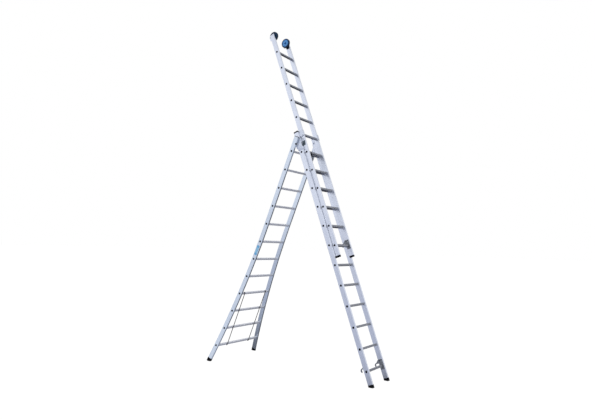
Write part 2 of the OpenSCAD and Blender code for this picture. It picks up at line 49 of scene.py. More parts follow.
studio = {
    "cameraPlace": (-6.0577, -4.1972, 1.7421),
    "cameraTurn": (94.044, -1.530, -54.8125),
    "lens": 30.65,
    "floorSide": 240.0,
    "floorPaper": (0.9, 0.9, 0.91),
    "floorWhite": 0.93,  # how far the floor is lifted to plain white
    "floorLift": 1.07,
    "floorLeft": (0.62, 0.65, 0.76),   # what the ladder gets back from the floor, from the left
    "floorRight": (0.15, 0.15, 0.16),  # and from the right
    "floorTurn": (-1.5, 1.0),          # where the one goes over into the other, along x
    "skyRight": (0.74, 0.76, 0.82),
    "skyLeft": (0.83, 0.87, 0.97),
    "skyTop": (0.62, 0.64, 0.68),
    "skyTurn": (-0.9, 0.3),  # from left to right, and from the sides to the top
    "skyRise": (0.35, 0.9),
    "skyPower": 1.0,
    "lampAim": (0, 0, 2.4),
}
lamps = [  # name, place, side, power and tint
    ("keyLamp", (-5.0, -7.5, 7.0), 5.0, 45, (1.0, 0.99, 0.97)),
    ("sideLamp", (7.5, -3.0, 3.0), 5.0, 8, (1.0, 1.0, 1.0)),
    ("backLamp", (-3.0, 8.0, 5.0), 4.0, 30, (0.93, 0.96, 1.0)),
]


def makeCamera():
    data = bpy.data.cameras.new("camera")
    data.lens = studio["lens"]
    data.sensor_width = 36
    data.clip_end = 500
    camera = bpy.data.objects.new("camera", data)
    scene.collection.objects.link(camera)
    camera.location = studio["cameraPlace"]
    camera.rotation_euler = [math.radians(a) for a in studio["cameraTurn"]]
    scene.camera = camera


def addLamp(name, place, side, power, tint):
    data = bpy.data.lights.new(name, "AREA")
    data.shape = "SQUARE"
    data.size = side
    data.energy = power
    data.color = tint
    lamp = bpy.data.objects.new(name, data)
    scene.collection.objects.link(lamp)
    lamp.location = place
    lamp.rotation_euler = (Vector(studio["lampAim"]) - Vector(place)).to_track_quat("-Z", "Y").to_euler()


def addNode(tree, kind, **values):
    made = tree.nodes.new(kind)
    for key, value in values.items():
        setattr(made, key, value)
    return made


def setInputs(made, **values):
    for label, value in values.items():
        made.inputs[label.replace("_", " ")].default_value = value
    return made


def wire(tree, sockets, values):
    # a number or colour is set on its socket, and anything else is linked to it
    for socket, value in zip(sockets, values):
        if isinstance(value, (int, float)):
            socket.default_value = value
        elif isinstance(value, tuple):
            socket.default_value = (*value, 1)
        else:
            tree.links.new(value, socket)


def addRange(tree, value, low, high, toLow=0.0, toHigh=1.0, smooth=True):
    made = addNode(tree, "ShaderNodeMapRange", interpolation_type="SMOOTHSTEP" if smooth else "LINEAR")
    setInputs(made, From_Min=low, From_Max=high, To_Min=toLow, To_Max=toHigh)
    tree.links.new(value, made.inputs["Value"])
    return made.outputs[0]


def addMix(tree, factor, first, second):
    made = addNode(tree, "ShaderNodeMix", data_type="RGBA")
    wire(tree, (made.inputs[0], made.inputs[6], made.inputs[7]), (factor, first, second))
    return made.outputs[2]


def addSplit(tree, vector):
    made = addNode(tree, "ShaderNodeSeparateXYZ")
    tree.links.new(vector, made.inputs[0])
    return made.outputs


def mixShaders(tree, factor, first, second):
    made = addNode(tree, "ShaderNodeMixShader")
    wire(tree, made.inputs, (factor, first.outputs[0], second.outputs[0]))
    return made


def startTree(made):
    # an empty node tree and its texture coordinates
    made.use_nodes = True
    made.node_tree.nodes.clear()
    return made.node_tree, addNode(made.node_tree, "ShaderNodeTexCoord")


def endTree(tree, outKind, lighting, seen):
    # one shader lights the ladder, and the other is what the camera sees
    ray = addNode(tree, "ShaderNodeLightPath").outputs["Is Camera Ray"]
    both = mixShaders(tree, ray, lighting, seen)
    tree.links.new(both.outputs[0], addNode(tree, outKind).inputs[0])


def makeWorld():
    scene.world = bpy.data.worlds.new("studio")
    tree, place = startTree(scene.world)
    x, _, z = addSplit(tree, place.outputs["Generated"])
    turn = addRange(tree, x, *studio["skyTurn"], smooth=False)
    rise = addRange(tree, z, *studio["skyRise"], smooth=False)
    whole = addMix(tree, rise, addMix(tree, turn, studio["skyLeft"], studio["skyRight"]), studio["skyTop"])
    lit = setInputs(addNode(tree, "ShaderNodeBackground"), Strength=studio["skyPower"])
    tree.links.new(whole, lit.inputs["Color"])
    plain = setInputs(addNode(tree, "ShaderNodeBackground"), Color=(1, 1, 1, 1))
    endTree(tree, "ShaderNodeOutputWorld", lit, plain)


def makeFloor():
    bpy.ops.object.select_all(action="DESELECT")
    bpy.ops.mesh.primitive_plane_add(size=studio["floorSide"], location=(0, 0, 0))
    floor = bpy.context.object
    floor.name = "studioFloor"
    material = bpy.data.materials.new("paleFloor")
    tree, place = startTree(material)
    paper = setInputs(addNode(tree, "ShaderNodeBsdfDiffuse"), Color=(*studio["floorPaper"], 1))
    white = setInputs(addNode(tree, "ShaderNodeEmission"), Color=(1, 1, 1, 1), Strength=studio["floorLift"])
    bounce = addNode(tree, "ShaderNodeBsdfDiffuse")
    turn = addRange(tree, addSplit(tree, place.outputs["Object"])[0], *studio["floorTurn"])
    tree.links.new(addMix(tree, turn, studio["floorLeft"], studio["floorRight"]), bounce.inputs["Color"])
    endTree(tree, "ShaderNodeOutputMaterial", bounce, mixShaders(tree, studio["floorWhite"], paper, white))
    floor.data.materials.append(material)


makeCamera()
makeWorld()
makeFloor()
for lamp in lamps:
    addLamp(*lamp)
scene.view_settings.view_transform = "Standard"
print("camera, floor and lamps placed")

# Section frames: x is the width, y runs to the rear and z up the stiles from rung 1


def centreOf(node):
    low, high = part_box(node)
    return (low + high) / 2


def sectionFrame(upper, lower, between, above):
    top, bottom = centreOf(upper), centreOf(lower)
    up = (top - bottom).normalized()
    pitch = (top - bottom).length / between
    right = Vector((1, 0, 0))
    turn = Matrix((right, up.cross(right), up)).transposed().to_4x4()
    turn.translation = top + up * pitch * above
    return turn, pitch


rearFrame, rungPitch = sectionFrame("rear_rung_01", "rear_rung_12", 11, 0)
middleFrame, _ = sectionFrame("middle_rungs_01_03", "middle_rungs_10_12", 9, 1)
frontFrame, _ = sectionFrame("front_rungs_01_03", "front_rungs_10_12", 9, 1)
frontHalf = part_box("front_stile_right")[1].x
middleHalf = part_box("middle_stile_right")[1].x
rungCount = 12
lastRung = -(rungCount - 1) * rungPitch

stile = {"width": 0.026, "depth": 0.070, "hingeGap": 0.013}
flare = {"start": 1.115, "radius": 9.8}
rearHalf = middleHalf + stile["hingeGap"] + stile["width"]
rearAxis = rearHalf - stile["width"] / 2


def flareSlope(depth):
    return math.asin(max(depth - flare["start"], 0) / flare["radius"])


def flareOffset(depth):
    return flare["radius"] * (1 - math.cos(flareSlope(depth)))


def onFlare(depth):
    place = Matrix.Translation((rearAxis + flareOffset(depth), 0, -depth))
    return place @ Matrix.Rotation(-flareSlope(depth), 4, "Y")


# Shared effects, as shader node groups


def startGroup(name, inputs, outputs):
    # a group with a vector socket for the place and number sockets for the rest
    group = bpy.data.node_groups.new(name, "ShaderNodeTree")
    group.interface.new_socket(name="Place", in_out="INPUT", socket_type="NodeSocketVector")
    for label in inputs:
        socket = group.interface.new_socket(name=label, in_out="INPUT", socket_type="NodeSocketFloat")
        socket.default_value = 1.0
    for label in outputs:
        group.interface.new_socket(name=label, in_out="OUTPUT", socket_type="NodeSocketFloat")
    return group, group.nodes.new("NodeGroupInput"), group.nodes.new("NodeGroupOutput")


def addMath(tree, operation, *values, clamp=False):
    made = addNode(tree, "ShaderNodeMath", operation=operation, use_clamp=clamp)
    wire(tree, made.inputs, values)
    return made.outputs[0]


def plus(tree, first, second, clamp=False):
    return addMath(tree, "ADD", first, second, clamp=clamp)


def minus(tree, first, second):
    return addMath(tree, "SUBTRACT", first, second)


def times(tree, first, second, clamp=False):
    return addMath(tree, "MULTIPLY", first, second, clamp=clamp)


def sizeOf(tree, value):
    return addMath(tree, "ABSOLUTE", value)


def addNoise(tree, vector, scale, detail=3.0, roughness=0.55):
    made = setInputs(addNode(tree, "ShaderNodeTexNoise"), Scale=scale, Detail=detail, Roughness=roughness)
    tree.links.new(vector, made.inputs["Vector"])
    return made.outputs[0]


def addStretch(tree, vector, scale):
    made = setInputs(addNode(tree, "ShaderNodeMapping"), Scale=scale)
    tree.links.new(vector, made.inputs["Vector"])
    return made.outputs[0]


def makeDrawnGroup():
    # die lines and handling marks of an extruded bar, drawn out along z
    group, into, out = startGroup("drawnMetal", ["Lines", "Smudge"], ["Tone", "Gloss", "Height"])
    wide, fine, smudge, scratch = (
        addNoise(group, addStretch(group, into.outputs["Place"], scale), 1.0, *noise)
        for scale, *noise in (((130, 130, 0.9), 2.0), ((900, 900, 5), 4.0), ((9, 9, 3), 5.0, 0.65),
                              ((1400, 60, 22), 2.0)))
    lines = plus(group, times(group, wide, 0.6), times(group, fine, 0.4))
    lines = times(group, minus(group, lines, 0.5), into.outputs["Lines"])
    marks = times(group, addRange(group, smudge, 0.45, 0.75), into.outputs["Smudge"])
    nick = addRange(group, scratch, 0.70, 0.76)
    tone = minus(group, plus(group, lines, 0.6), times(group, marks, 0.22))
    gloss = plus(group, times(group, lines, 0.5), times(group, marks, 0.6))
    height = minus(group, fine, times(group, nick, 0.5))
    wire(group, out.inputs, (plus(group, tone, 0.0, True), plus(group, gloss, 0.2, True), height))
    return group


def makeGrainGroup():
    # spark-eroded grain of moulded plastic and rubber, with a little dust
    group, into, out = startGroup("mouldGrain", ["Scale"], ["Dust", "Gloss", "Height"])
    scaled = addNode(group, "ShaderNodeVectorMath", operation="SCALE")
    group.links.new(into.outputs["Place"], scaled.inputs[0])
    group.links.new(into.outputs["Scale"], scaled.inputs["Scale"])
    pits, cloud, specks = (addNoise(group, scaled.outputs[0], scale, detail)
                           for scale, detail in ((1600, 3.0), (60, 4.0), (700, 2.0)))
    dust = times(group, addRange(group, specks, 0.58, 0.72), addRange(group, cloud, 0.4, 0.7))
    wire(group, out.inputs, (dust, cloud, pits))
    return group


def makeEdgeGroup():
    # rubbed edges: where a rounded normal leaves the flat one
    group, into, out = startGroup("rubbedEdge", ["Amount"], ["Mask"])
    rounded = setInputs(addNode(group, "ShaderNodeBevel", samples=4), Radius=0.0012)
    flat = addNode(group, "ShaderNodeNewGeometry")
    dot = addNode(group, "ShaderNodeVectorMath", operation="DOT_PRODUCT")
    wire(group, dot.inputs, (rounded.outputs[0], flat.outputs["Normal"]))
    edge = addRange(group, dot.outputs["Value"], 0.995, 0.90)
    broken = addRange(group, addNoise(group, into.outputs["Place"], 260, 4.0), 0.35, 0.65)
    wire(group, out.inputs, [times(group, times(group, edge, broken), into.outputs["Amount"], True)])
    return group


drawnMetal, mouldGrain, rubbedEdge = makeDrawnGroup(), makeGrainGroup(), makeEdgeGroup()


def newMaterial(name, **fixed):
    material = bpy.data.materials.new(name)
    material.use_nodes = True
    tree = material.node_tree
    shader = setInputs(tree.nodes["Principled BSDF"], **fixed)
    return material, tree, shader, addNode(tree, "ShaderNodeTexCoord")


def addGroup(tree, group, vector, **values):
    made = addNode(tree, "ShaderNodeGroup", node_tree=group)
    tree.links.new(vector, made.inputs["Place"])
    return setInputs(made, **values).outputs


def dress(tree, shader, colour, rough, height, strength, distance):
    # feeds the colour, the roughness and a bump into the shader
    bump = setInputs(addNode(tree, "ShaderNodeBump"), Strength=strength, Distance=distance)
    tree.links.new(height, bump.inputs["Height"])
    wire(tree, [shader.inputs[label] for label in ("Base Color", "Roughness", "Normal")],
         (colour, rough, bump.outputs[0]))


def sectionPlace(tree, place, sectionMatrix):
    # object coordinates turned into the section's own frame
    made = setInputs(addNode(tree, "ShaderNodeMapping", vector_type="TEXTURE"),
                     Location=sectionMatrix.translation, Rotation=sectionMatrix.to_euler())
    tree.links.new(place.outputs["Object"], made.inputs["Vector"])
    return made.outputs[0]


def addJoin(tree, *parts):
    made = addNode(tree, "ShaderNodeCombineXYZ")
    wire(tree, made.inputs, parts)
    return made.outputs[0]


stileFinish = {
    "bright": (0.93, 0.94, 0.97), "dull": (0.74, 0.77, 0.84), "lines": 1.3, "smudge": 0.8,
    "roughLow": 0.24, "roughHigh": 0.46, "bump": 0.25,
}
# painted shade: a darker, bluer copy of the same stile aluminium for the rear section
rearStileShadedCopy = dict(stileFinish, bright=(0.85, 0.90, 0.94), dull=(0.66, 0.72, 0.79))


def makeStileMetal(name, sectionMatrix, flared, finish):
    material, tree, shader, place = newMaterial(name, Metallic=1.0)
    local = sectionPlace(tree, place, sectionMatrix)
    if flared:
        x, y, z = addSplit(tree, local)
        depth = addMath(tree, "MAXIMUM", minus(tree, times(tree, z, -1.0), flare["start"]), 0.0)
        bend = addMath(tree, "DIVIDE", times(tree, depth, depth), 2 * flare["radius"])
        local = addJoin(tree, minus(tree, sizeOf(tree, x), bend), y, z)
    drawn = addGroup(tree, drawnMetal, local, Lines=finish["lines"], Smudge=finish["smudge"])
    colour = addMix(tree, drawn["Tone"], finish["dull"], finish["bright"])
    rough = addRange(tree, drawn["Gloss"], 0.0, 1.0, finish["roughLow"], finish["roughHigh"], False)
    dress(tree, shader, colour, rough, drawn["Height"], finish["bump"], 0.00015)
    return material


# painted light: the side colour is the rung sides painted darker as shade, the tread colour the top painted
# bright as lit
rungFinish = {
    "side": (0.42, 0.43, 0.46), "tread": (0.80, 0.81, 0.84), "groove": (0.15, 0.15, 0.16),
    "ribPitch": 0.0026, "roughLow": 0.34, "roughHigh": 0.55, "bump": 0.5, "metallic": 1.0,
}
# painted light: a brighter copy of the same rung aluminium for the rear section, near white and barely metallic,
# with lighter painted groove shade
rearRungLitCopy = dict(rungFinish, side=(0.95, 0.95, 0.97), tread=(0.97, 0.97, 0.99),
                      groove=(0.72, 0.72, 0.75), metallic=0.2)


def makeRungMetal(name, sectionMatrix, finish):
    # drawn across the section and ribbed, with painted light: the tread on top painted bright, the sides painted
    # darker and the rib grooves given painted shade
    material, tree, shader, place = newMaterial(name, Metallic=finish["metallic"])
    x, y, z = addSplit(tree, sectionPlace(tree, place, sectionMatrix))
    drawn = addGroup(tree, drawnMetal, addJoin(tree, y, z, x), Lines=1.0, Smudge=1.0)
    facing = addNode(tree, "ShaderNodeVectorMath", operation="DOT_PRODUCT")
    facing.inputs[1].default_value = sectionMatrix.to_3x3().col[2]
    tree.links.new(place.outputs["Normal"], facing.inputs[0])
    facing = facing.outputs["Value"]
    # painted light: faces turned up in the section get the bright tread colour, the rest the darker side colour
    paintedTreadLight = addRange(tree, facing, 0.45, 0.85)
    level = addRange(tree, sizeOf(tree, facing), 0.6, 0.8)
    across = addNode(tree, "ShaderNodeMix", data_type="FLOAT")
    wire(tree, (across.inputs[0], across.inputs[2], across.inputs[3]), (level, z, y))
    # painted shade: the rib grooves are coloured dark, as if in shade, besides their bump
    wave = addMath(tree, "SINE", times(tree, across.outputs[0], 2 * math.pi / finish["ribPitch"]))
    rib = addRange(tree, wave, -0.9, -0.2)
    body = addMix(tree, paintedTreadLight, finish["side"], finish["tread"])
    # the die lines also darken the colour part way towards the painted groove shade
    toned = addMix(tree, drawn["Tone"], addMix(tree, 0.35, body, finish["groove"]), body)
    colour = addMix(tree, rib, finish["groove"], toned)
    rough = addRange(tree, drawn["Gloss"], 0.0, 1.0, finish["roughLow"], finish["roughHigh"], False)
    dress(tree, shader, colour, rough, rib, finish["bump"], 0.0003)
    return material


def makePlainMetal(name, bright, dull, roughLow, roughHigh, spangle=0.0):
    material, tree, shader, place = newMaterial(name, Metallic=1.0)
    place = place.outputs["Object"]
    drawn = addGroup(tree, drawnMetal, addStretch(tree, place, (3, 3, 30)), Lines=0.6, Smudge=1.0)
    edge = addGroup(tree, rubbedEdge, place, Amount=0.3)
    tone = drawn["Tone"]
    if spangle:
        crystals = setInputs(addNode(tree, "ShaderNodeTexVoronoi"), Scale=spangle)
        tree.links.new(place, crystals.inputs["Vector"])
        tone = times(tree, plus(tree, tone, addSplit(tree, crystals.outputs["Color"])[0]), 0.6, True)
    rubbed = tuple(min(1, 1.25 * c) for c in bright)
    colour = addMix(tree, edge["Mask"], addMix(tree, tone, dull, bright), rubbed)
    rough = addRange(tree, drawn["Gloss"], 0.0, 1.0, roughLow, roughHigh, False)
    dress(tree, shader, colour, rough, drawn["Height"], 0.2, 0.0002)
    return material


def makeMoulded(name, base, dusty, rubbed, roughLow, roughHigh, bump=0.3, wear=0.6, grain=1.0, gloss=0.3):
    material, tree, shader, place = newMaterial(name, Specular_IOR_Level=gloss)
    grains = addGroup(tree, mouldGrain, place.outputs["Object"], Scale=grain)
    edge = addGroup(tree, rubbedEdge, place.outputs["Object"], Amount=wear)
    colour = addMix(tree, edge["Mask"], addMix(tree, grains["Dust"], base, dusty), rubbed)
    rough = addRange(tree, grains["Gloss"], 0.3, 0.7, roughLow, roughHigh, False)
    dress(tree, shader, colour, rough, grains["Height"], bump, 0.0003)
    return material


stileRearMetal = makeStileMetal("stileAluminiumRearShaded", rearFrame, True, rearStileShadedCopy)
stileMiddleMetal = makeStileMetal("stileAluminiumMiddle", middleFrame, False, stileFinish)
rungRearMetal = makeRungMetal("rungAluminiumRearLit", rearFrame, rearRungLitCopy)
rungMiddleMetal = makeRungMetal("rungAluminiumMiddle", middleFrame, rungFinish)
bracketMetal = makePlainMetal("bracketAluminium", (0.88, 0.90, 0.94), (0.66, 0.70, 0.78), 0.30, 0.50)
hookMetal = makePlainMetal("hookSteel", (0.42, 0.43, 0.44), (0.20, 0.21, 0.22), 0.38, 0.62, spangle=130)
brightSteel = makePlainMetal("brightSteel", (0.62, 0.63, 0.65), (0.36, 0.36, 0.37), 0.22, 0.42)
rodSteel = makePlainMetal("rodSteel", (0.10, 0.085, 0.08), (0.04, 0.035, 0.03), 0.35, 0.55)
# dark steel, partly painted shade: made extra dark so the screws and rivets also stand in for the shade in the
# gaps round them
darkSteelGapShade = makePlainMetal("darkSteelGapShade", (0.09, 0.09, 0.10), (0.035, 0.035, 0.04), 0.35, 0.55)
blackPlastic = makeMoulded("blackPlastic", (0.004, 0.004, 0.006), (0.03, 0.03, 0.032), (0.025, 0.025, 0.03),
                           0.38, 0.56, wear=0.5, gloss=0.10)
footRubber = makeMoulded("footRubber", (0.005, 0.005, 0.007), (0.045, 0.043, 0.04), (0.03, 0.03, 0.03),
                         0.60, 0.82, bump=0.5, grain=0.6, gloss=0.10)
tyreRubber = makeMoulded("tyreRubber", (0.006, 0.028, 0.060), (0.04, 0.06, 0.08), (0.03, 0.06, 0.10),
                         0.46, 0.66, bump=0.4, grain=0.8, gloss=0.30)
wheelBlue = makeMoulded("wheelBlue", (0.105, 0.37, 0.70), (0.18, 0.44, 0.76), (0.34, 0.60, 0.87),
                        0.24, 0.38, bump=0.15, wear=0.5, gloss=0.5)
# painted shade: dark navy for the wheel's side towards the stile
wheelShadeNavy = makeMoulded("wheelShadeNavy", (0.010, 0.045, 0.105), (0.04, 0.08, 0.14), (0.05, 0.12, 0.22),
                        0.36, 0.52, bump=0.2, wear=0.5, gloss=0.2)
hubBlue = makeMoulded("hubBlue", (0.016, 0.11, 0.36), (0.05, 0.16, 0.40), (0.12, 0.30, 0.60),
                      0.26, 0.40, bump=0.15, wear=0.5, gloss=0.4)
latchPlastic = makeMoulded("latchPlastic", (0.085, 0.115, 0.125), (0.15, 0.17, 0.18), (0.18, 0.21, 0.22),
                           0.34, 0.50)
print("materials made")


paints = (
    (stileRearMetal, "rear_stile"), (stileMiddleMetal, "middle_stile", "front_stile"),
    (rungRearMetal, "rear_rung"), (rungMiddleMetal, "middle_rungs", "front_rungs"),
    (bracketMetal, "hinge_bracket", "middle_guide", "rear_hinge_ear"),
    (hookMetal, "middle_hook", "front_hook"), (brightSteel, "hinge_pins", "wheel_axles"),
    (rodSteel, "rear_guide_rods"), (darkSteelGapShade, "rear_rivets", "middle_rivets", "front_rivets"),
    (blackPlastic, "rear_plugs", "middle_plugs", "front_plugs", "rear_top_caps", "middle_top_caps",
     "front_top_caps", "front_bottom_caps", "wheel_bracket"),
    (footRubber, "rear_foot", "middle_foot"), (tyreRubber, "wheel_tyre"),
    (wheelBlue, "wheel_disc", "side_label"),
)
for material, *starts in paints:
    for name in nodes:
        if name.startswith(tuple(starts)):
            nodes[name].data.materials.clear()
            nodes[name].data.materials.append(material)

# Modelling helpers

mirrorX = Matrix.Scale(-1, 4, (1, 0, 0))
turnToX = Matrix(((0, 0, 1, 0), (1, 0, 0, 0), (0, 1, 0, 0), (0, 0, 0, 1)))  # z goes to x
turnBack = Matrix.Rotation(math.pi, 4, "Z")


def moved(x, y, z):
    return Matrix.Translation((x, y, z))


def deselectAll():
    if bpy.context.mode != "OBJECT":
        bpy.ops.object.mode_set(mode="OBJECT")
    bpy.ops.object.select_all(action="DESELECT")


def makeActive(piece):
    deselectAll()
    piece.select_set(True)
    bpy.context.view_layer.objects.active = piece


def editAll(piece):
    makeActive(piece)
    bpy.ops.object.mode_set(mode="EDIT")
    bpy.ops.mesh.select_all(action="SELECT")


def pickFaces(piece, test):
    # goes into edit mode and selects the faces that pass the test
    editAll(piece)
    bpy.ops.mesh.select_mode(type="FACE")
    bpy.ops.mesh.select_all(action="DESELECT")
    work = bmesh.from_edit_mesh(piece.data)
    work.normal_update()
    for face in work.faces:
        if test(face):
            face.select_set(True)
    bmesh.update_edit_mesh(piece.data)


def cleanUp(piece):
    editAll(piece)
    bpy.ops.mesh.remove_doubles(threshold=0.00002)
    bpy.ops.mesh.normals_make_consistent(inside=False)
    bpy.ops.object.mode_set(mode="OBJECT")
    return piece


def addRounded(name, width, depth, corner, steps=4):
    deselectAll()
    bpy.ops.mesh.primitive_plane_add(size=1)
    piece = bpy.context.object
    piece.name = name
    piece.scale = (width, depth, 1)
    bpy.ops.object.transform_apply(scale=True)
    editAll(piece)
    bpy.ops.mesh.bevel(offset=corner, segments=steps, affect="VERTICES")
    bpy.ops.object.mode_set(mode="OBJECT")
    return piece


def drawUp(piece, size, levels, start=0.0):
    # draws a lone face up through levels: height, width and depth there
    piece.data.transform(moved(0, 0, start))
    editAll(piece)
    bpy.ops.mesh.select_mode(type="FACE")
    bpy.ops.mesh.select_all(action="SELECT")
    last, (wide, deep) = start, size
    for height, width, depth in levels:
        bpy.ops.mesh.extrude_region_move(TRANSFORM_OT_translate={"value": (0, 0, height - last)})
        bpy.ops.transform.resize(value=(width / wide, depth / deep, 1), center_override=(0, 0, height))
        last, wide, deep = height, width, depth
    bpy.ops.object.mode_set(mode="OBJECT")
    return cleanUp(piece)


def addTurned(name, radius, levels, start=0.0, steps=28):
    deselectAll()
    bpy.ops.mesh.primitive_circle_add(vertices=steps, radius=radius, fill_type="NGON")
    bpy.context.object.name = name
    return drawUp(bpy.context.object, (radius, radius), [(z, r, r) for z, r in levels], start)


def softenEdges(piece, width, steps=2, angle=40):
    makeActive(piece)
    bevel = piece.modifiers.new("bevel", "BEVEL")
    bevel.width = width
    bevel.segments = steps
    bevel.limit_method = "ANGLE"
    bevel.angle_limit = math.radians(angle)
    bpy.ops.object.modifier_apply(modifier="bevel")
    return piece


def addBlock(name, low, high, soften):
    deselectAll()
    low, high = Vector(low), Vector(high)
    bpy.ops.mesh.primitive_cube_add(size=1, location=(low + high) / 2)
    piece = bpy.context.object
    piece.name = name
    piece.scale = high - low
    bpy.ops.object.transform_apply(location=True, scale=True)
    return softenEdges(piece, soften)


def arc(x, y, radius, start, end, steps=8):
    turns = [math.radians(start + (end - start) * i / steps) for i in range(steps + 1)]
    return [(x + radius * math.cos(t), y + radius * math.sin(t)) for t in turns]


def ring(x, y, radius, steps=28):
    return arc(x, y, radius, 0, 360, steps)[:-1]


def roundedOutline(width, depth, radius, steps=4):
    w, d = width / 2 - radius, depth / 2 - radius
    return (arc(w, d, radius, 0, 90, steps) + arc(-w, d, radius, 90, 180, steps)
            + arc(-w, -d, radius, 180, 270, steps) + arc(w, -d, radius, 270, 360, steps))


def drawCurve(name, outlines, flat=True, closed=True):
    curve = bpy.data.curves.new(name, "CURVE")
    curve.dimensions = "2D" if flat else "3D"
    for points in outlines:
        spline = curve.splines.new("POLY")
        spline.points.add(len(points) - 1)
        for spot, place in zip(spline.points, points):
            spot.co = (*place, *(0,) * (3 - len(place)), 1)
        spline.use_cyclic_u = closed
    piece = bpy.data.objects.new(name, curve)
    scene.collection.objects.link(piece)
    return piece, curve


def toMesh(piece):
    makeActive(piece)
    bpy.ops.object.convert(target="MESH")
    return bpy.context.object


def addPlate(name, outlines, thick, soften=0.0006, steps=1):
    # flat plate with its holes, drawn in x and y, from z = 0 to its thickness
    piece, curve = drawCurve(name, outlines)
    curve.fill_mode = "BOTH"
    curve.extrude = thick / 2 - soften
    curve.bevel_depth = soften
    curve.bevel_resolution = steps
    curve.offset = -soften
    piece = toMesh(piece)
    piece.data.transform(moved(0, 0, thick / 2))
    return cleanUp(piece)


def addLathed(name, outline):
    # spins a closed outline of radius and height round z
    piece, _ = drawCurve(name, [[(r, 0, z) for r, z in outline]], flat=False)
    piece = toMesh(piece)
    editAll(piece)
    bpy.ops.mesh.spin(steps=96, angle=2 * math.pi, center=(0, 0, 0), axis=(0, 0, 1))
    bpy.ops.object.mode_set(mode="OBJECT")
    return cleanUp(piece)


def bothEnds(half):
    # an outline's first half, followed by its mirror image in z
    return half + [(r, -z) for r, z in reversed(half)]


def finish(piece, material):
    piece.data.materials.clear()
    piece.data.materials.append(material)
    return piece


def put(piece, matrix):
    piece.data.transform(matrix)
    if matrix.determinant() < 0:
        piece.data.flip_normals()
    return piece


def copyAt(piece, matrix):
    made = piece.copy()
    made.data = piece.data.copy()
    scene.collection.objects.link(made)
    return put(made, matrix)


def join(name, parts):
    deselectAll()
    for part in parts:
        part.select_set(True)
    bpy.context.view_layer.objects.active = parts[0]
    if len(parts) > 1:
        bpy.ops.object.join()
    made = bpy.context.object
    made.name = made.data.name = name
    return made


def drop(piece):
    bpy.data.objects.remove(piece)


def handOver(piece, body, slotName, *standsFor):
    makeActive(piece)
    bpy.ops.object.shade_smooth_by_angle(angle=math.radians(38))
    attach(piece, body)
    if standsFor:
        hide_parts(*standsFor)
    return piece


def sides(matrix):
    # the right-hand place of a section and its mirror image
    return [("right", matrix), ("left", matrix @ mirrorX)]


def givePair(name, one, matrix, spot, *handed):
    # both sides' copies as one piece
    handOver(join(name, [copyAt(one, side @ spot) for _, side in sides(matrix)]), *handed)
    drop(one)


def giveSides(name, one, matrix, spot, body, slotName, node):
    # a piece of its own for each side
    for sideName, side in sides(matrix):
        handOver(join(name + sideName.capitalize(), [copyAt(one, side @ spot)]), body, slotName, node + sideName)


sections = {"rear": (rearFrame, rearHalf), "middle": (middleFrame, middleHalf),
            "front": (frontFrame, frontHalf)}
frontInner, middleInner, rearInner = (half - stile["width"] for half in (frontHalf, middleHalf, rearHalf))
endTop = {"front": 0.307, "middle": 0.320, "rear": 0.213}
rungHeights = [-i * rungPitch for i in range(rungCount)]


def atRungs(one, section, offset, heights=rungHeights):
    # copies at the rung ends of both stiles, with the offset running out from the stile's axis
    matrix, half = sections[section]
    axis = half - stile["width"] / 2
    return [copyAt(one, side @ (onFlare(-z) if section == "rear" else moved(axis, 0, z))
                   @ moved(offset, 0, 0) @ turnToX)
            for _, side in sides(matrix) for z in heights]


# Plugs over the rung ends

plug = {"stem": 0.0118, "radius": 0.0154, "proud": 0.001, "dimple": 0.0055, "depth": 0.003}


def makePlugs():
    stem, radius, proud, dimple = (plug[key] for key in ("stem", "radius", "proud", "dimple"))
    one = addTurned("plug", stem, [
        (0.0, stem), (0.0, radius), (0.0006, radius - 0.0003), (proud, radius - 0.0009), (proud, dimple),
        (proud - 0.0006, dimple - 0.001),
    ], -plug["depth"], 24)
    finish(one, blackPlastic)
    for section in sections:
        parts = atRungs(one, section, stile["width"] / 2)
        handOver(join(section + "PlugSet", parts), section + "_section", "black_plastic", section + "_plugs")
    drop(one)
    print("plugs made")


makePlugs()

# Swaged collars where the rungs enter the stiles

collar = {"side": 0.037, "corner": 0.0065, "hole": 0.0302, "thick": 0.0018, "soften": 0.0007}


def makeCollars():
    one = addPlate("collar", [
        roundedOutline(collar["side"], collar["side"], collar["corner"]),
        roundedOutline(collar["hole"], collar["hole"], 0.004)[::-1],
    ], collar["thick"], collar["soften"])
    finish(one, bracketMetal)
    for section in sections:
        heights = rungHeights if section == "rear" else rungHeights[:-1]  # the others have hooks at the last
        parts = atRungs(one, section, -stile["width"] / 2 - collar["thick"], heights)
        handOver(join(section + "RungCollars", parts), section + "_section", "rung_aluminium")
    drop(one)
    print("collars made")


makeCollars()

# Rivets and bolts

rivet = {"radius": 0.0055, "rise": 0.0022, "shank": 0.003, "grip": 0.006, "dimple": 0.0013}
bolt = {"radius": 0.0055, "rise": 0.0035, "shank": 0.003, "grip": 0.004}
guide = {"low": 0.214, "high": 0.318, "lip": 0.176, "web": 0.203, "front": -0.103, "rear": -0.021,
         "back": 0.025, "plate": 0.004, "slant": 0.018, "bend": 0.004}
hook = {"plate": 0.004, "half": 0.028, "low": -0.048, "high": 0.0855, "claw": 0.018, "radius": 0.0305,
        "y": 0.062, "z": 0.020, "mouthTop": 0.0355, "mouthRear": 0.0785, "tip": -0.003, "start": 0.0155}
inwardPlate = 0.004  # the hinge ears and the wheel brackets
hookRivets = [(-0.014, 0.0715), (0.007, 0.0715), (0.0, -0.034)]
earRivets = [(-0.0175, 0.076), (0.0175, 0.076), (-0.0175, 0.173), (0.0175, 0.169)]
guideBolts = [(0.011, 0.232), (0.011, 0.292)]
guideScrews = [(-0.046, 0.228), (-0.084, 0.236)]
stopBolt = [(0, 0.2278)]
wheelRivets = [(-0.012, 0.212), (0.012, 0.212)]


